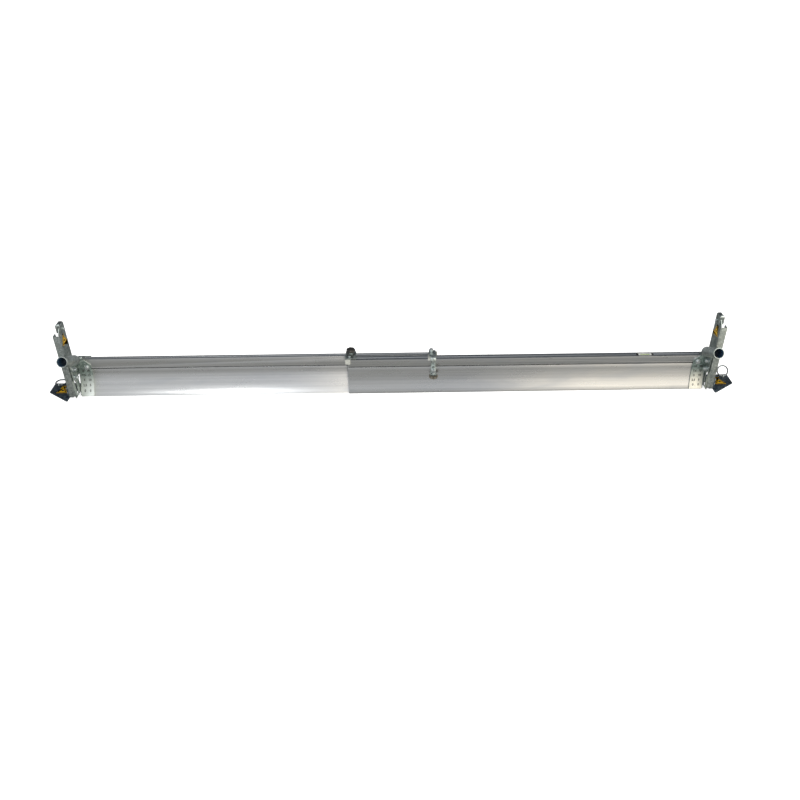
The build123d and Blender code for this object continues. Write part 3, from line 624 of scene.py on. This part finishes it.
def plate_numbers(side):
    """Generic figures printed in two columns up the scale plate, laid on its curved face."""
    node = side + "_scale_plate"
    low, high = (Vector(corner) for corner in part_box(node))
    surface = BVHTree.FromBMesh(cleaned(node))
    stand_up = Matrix.Rotation(pi / 2, 4, "X")
    work = bmesh.new()
    for row in range(number_rows):
        for across, step in NUMBER_COLUMNS:
            flat = figure_mesh(f"{row * step:g}")
            beside = low.x + (high.x - low.x) * across
            above = low.z + (number_low + row * number_pitch) * MM
            flat.transform(Matrix.Translation((beside, 0, above)) @ stand_up)
            work.from_mesh(flat)
            bpy.data.meshes.remove(flat)
    for vert in work.verts:
        in_front = Vector((vert.co.x, low.y - ray_start * MM, vert.co.z))
        vert.co.y += surface.ray_cast(in_front, Vector((0, 1, 0)))[0].y - ink_lift * MM
    bmesh.ops.remove_doubles(work, verts=work.verts, dist=figure_seam)
    face_outwards(work)
    new_piece(work, side + "_scale_numbers", BODY_OF[node], "yellow_labels", black_ink)


# ================================================================ spirit level
def level_details():
    """Black end blocks, the green vial with its bubble and two lines."""
    low, high = (Vector(corner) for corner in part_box("level_vial"))
    centre = (low + high) / 2
    radius = (high.z - low.z) / 2
    lay_down = Matrix.Rotation(pi / 2, 4, "Y")
    housing = eased("level_housing", level_edge)
    for cut in (-1, 1):
        bmesh.ops.bisect_plane(housing, geom=housing.verts[:] + housing.edges[:] + housing.faces[:],
                               plane_co=centre + Vector((cut * level_white_half * MM, 0, 0)),
                               plane_no=(1, 0, 0))
    for face in housing.faces:
        face.material_index = int(abs(face.calc_center_median().x - centre.x) > level_white_half * MM)
    piece = new_piece(housing, "level_housing_finished", BODY_OF["level_housing"], "level_housing",
                      white_level, black_cap)
    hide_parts("level_housing")
    glass = bmesh.new()
    bmesh.ops.create_cone(glass, cap_ends=True, segments=40, radius1=radius, radius2=radius,
                          depth=high.x - low.x, matrix=Matrix.Translation(centre) @ lay_down)
    rims = [e for e in glass.edges if len(e.link_faces) == 2 and e.calc_face_angle() > crease]
    bmesh.ops.bevel(glass, geom=rims, offset=vial_rim * MM, segments=3, profile=0.5, affect="EDGES",
                    material=-1)
    piece = new_piece(glass, "level_vial_glass", BODY_OF["level_vial"], "level_vial", green_spirit)
    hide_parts("level_vial")
    place = Matrix.Translation(centre + Vector((bubble_drift * MM, 0, radius * bubble_rise)))
    shape = Matrix.Diagonal((bubble_half * MM, bubble_width * MM, bubble_depth * MM, 1))
    bubble = bmesh.new()
    bmesh.ops.create_uvsphere(bubble, u_segments=24, v_segments=12, radius=1.0, matrix=place @ shape)
    new_piece(bubble, "level_bubble", BODY_OF["level_vial"], "level_vial", spirit_bubble)
    lines = bmesh.new()
    for side in (-1, 1):
        place = Matrix.Translation(centre + Vector((side * (bubble_half + vial_line_gap) * MM, 0, 0)))
        outside = radius + vial_line_thick * MM
        bmesh.ops.create_cone(lines, cap_ends=False, segments=40, radius1=outside, radius2=outside,
                              depth=vial_line * MM, matrix=place @ lay_down)
    bmesh.ops.solidify(lines, geom=lines.faces[:], thickness=vial_line_thick * MM)
    new_piece(lines, "level_lines", BODY_OF["level_vial"], "level_vial", black_ink)


# ================================================================ welds between the tubes and side plates
def weld(side):
    """Rippled fillet bead along the top and underside of the tube, where it meets the side plate."""
    start, along = tube_axis(side + "_handle_tube")
    outer = 1 if side == "right" else -1
    over = Vector((1, 0, 0)).cross(along)
    turn = Vector((0, 1, 0)).rotation_difference(along).to_matrix().to_4x4()
    shape = Matrix.Diagonal((weld_width * MM, weld_ripple * weld_lap * MM, weld_height * MM, 1))
    work = bmesh.new()
    ripples = int((weld_end - weld_start) / weld_ripple)
    for lift, out in WELD_BEADS:
        corner = start + over * lift * MM + Vector((outer * (tube_radius + out) * MM, 0, 0))
        for step in range(ripples):
            place = corner + along * (weld_start + step * weld_ripple) * MM
            bmesh.ops.create_icosphere(work, subdivisions=2, radius=1.0,
                                       matrix=Matrix.Translation(place) @ turn @ shape)
    new_piece(work, side + "_weld", BODY_OF[side + "_handle_tube"], "zinc_fasteners", weld_metal)


# ================================================================ assembly
PLATE_PAINT = {"left_scale_plate": grey_enamel, "right_scale_plate": cream_enamel}
MODELLED_ANEW = {"front_clamp_knob", "rear_clamp_knob", "level_vial", "level_housing"}
for entry in frame["record"]["subparts"]:
    node, slot_name = entry["node"], entry["material_slot"]
    if node in MODELLED_ANEW or node.endswith("_label"):
        continue
    if node in GROOVES:
        # painted shade: the groove's floor and ceiling get the dark groove finish
        carry_over(node, slot_name, groove_shade, in_groove(node))
    elif node.endswith("handle_tube"):
        carry_over(node, slot_name, scale_black, in_bore(node))
    elif node.endswith("scale_plate"):
        carry_over(node, slot_name, PLATE_PAINT[node], faces_user)
    else:
        carry_over(node, slot_name)
knob_piece("front_clamp_knob", "black_knob", lobes=7, scallop=0.16, dome=0.0, hangs=False)
knob_piece("rear_clamp_knob", "worn_knob", lobes=9, scallop=0.11, dome=0.3, hangs=True)
level_details()
for side in ("left", "right"):
    plate_numbers(side)
    weld(side)
    for kind in ("_post_label", "_shoe_label"):
        label_piece(side + kind)


# ================================================================ studio
def studio_world():
    """Soft light: a bright wall ahead, warmer to the right, and a dark wall with a grey skirting behind."""
    world = bpy.data.worlds.new("soft_studio")
    bpy.context.scene.world = world
    world.use_nodes = True
    tree = world.node_tree
    axes = add(tree, "SeparateXYZ", {0: add(tree, "TexCoord").outputs["Generated"]})
    share = {}
    for change, (axis, start, end) in FADES.items():
        share[change] = add(tree, "MapRange", {0: axes.outputs[axis], 1: start, 2: end},
                            interpolation_type="SMOOTHSTEP").outputs[0]
    cool_wall = add(tree, "Mix", {0: share["left"], 6: MIDDLE_WALL, 7: LEFT_WALL},
                    data_type="RGBA").outputs[2]
    wall = add(tree, "Mix", {0: share["right"], 6: cool_wall, 7: RIGHT_WALL}, data_type="RGBA").outputs[2]
    ahead = add(tree, "Mix", {0: share["wall"], 6: GROUND_AHEAD, 7: wall}, data_type="RGBA").outputs[2]
    skirting = add(tree, "Mix", {0: share["skirting"], 6: GROUND_BEHIND, 7: SKIRTING_BEHIND},
                   data_type="RGBA").outputs[2]
    behind = add(tree, "Mix", {0: share["wall_behind"], 6: skirting, 7: WALL_BEHIND},
                 data_type="RGBA").outputs[2]
    around = add(tree, "Mix", {0: share["ahead"], 6: behind, 7: ahead}, data_type="RGBA").outputs[2]
    light = add(tree, "Mix", {0: share["ceiling"], 6: around, 7: CEILING}, data_type="RGBA").outputs[2]
    seen = add(tree, "LightPath").outputs["Is Camera Ray"]
    shown = add(tree, "Mix", {0: seen, 6: light, 7: BACKDROP}, data_type="RGBA").outputs[2]
    tree.links.new(shown, tree.nodes["Background"].inputs["Color"])


def floor():
    """Pale matt floor, which the metal doesn't mirror."""
    work = bmesh.new()
    bmesh.ops.create_grid(work, x_segments=1, y_segments=1, size=floor_size)
    mesh = bpy.data.meshes.new("floor")
    work.to_mesh(mesh)
    work.free()
    plane = bpy.data.objects.new("floor", mesh)
    bpy.context.scene.collection.objects.link(plane)
    paint = new_material("pale_matt_paint", Roughness=0.9, Base_Color=linear("#f1f1ef"),
                         Emission_Color=linear("#ffffff"), Emission_Strength=floor_glow)[0]
    mesh.materials.append(paint)
    plane.visible_glossy = False


def soft_box(name, place, aim, size, power):
    lamp = bpy.data.lights.new(name, "AREA")
    lamp.shape = "SQUARE"
    lamp.size = size
    lamp.energy = power
    holder = bpy.data.objects.new(name, lamp)
    holder.location = place
    holder.rotation_euler = (Vector(aim) - Vector(place)).to_track_quat("-Z", "Y").to_euler()
    bpy.context.scene.collection.objects.link(holder)


def camera():
    """View from in front and above, tipped down at the board."""
    data = bpy.data.cameras.new("camera")
    data.lens = camera_lens
    data.sensor_width = camera_sensor
    data.clip_end = camera_reach
    holder = bpy.data.objects.new("camera", data)
    holder.location = camera_place
    yaw = Matrix.Rotation(radians(-camera_yaw), 3, "Z")
    pitch = Matrix.Rotation(pi / 2 - radians(camera_pitch), 3, "X")
    roll = Matrix.Rotation(radians(camera_roll), 3, "Z")
    holder.rotation_euler = (yaw @ pitch @ roll).to_euler()
    bpy.context.scene.collection.objects.link(holder)
    bpy.context.scene.camera = holder


studio_world()
floor()
for name, box in SOFT_BOXES.items():
    soft_box(name, **box)
camera()
bpy.context.scene.view_settings.view_transform = "Standard"

bpy.context.view_layer.update()
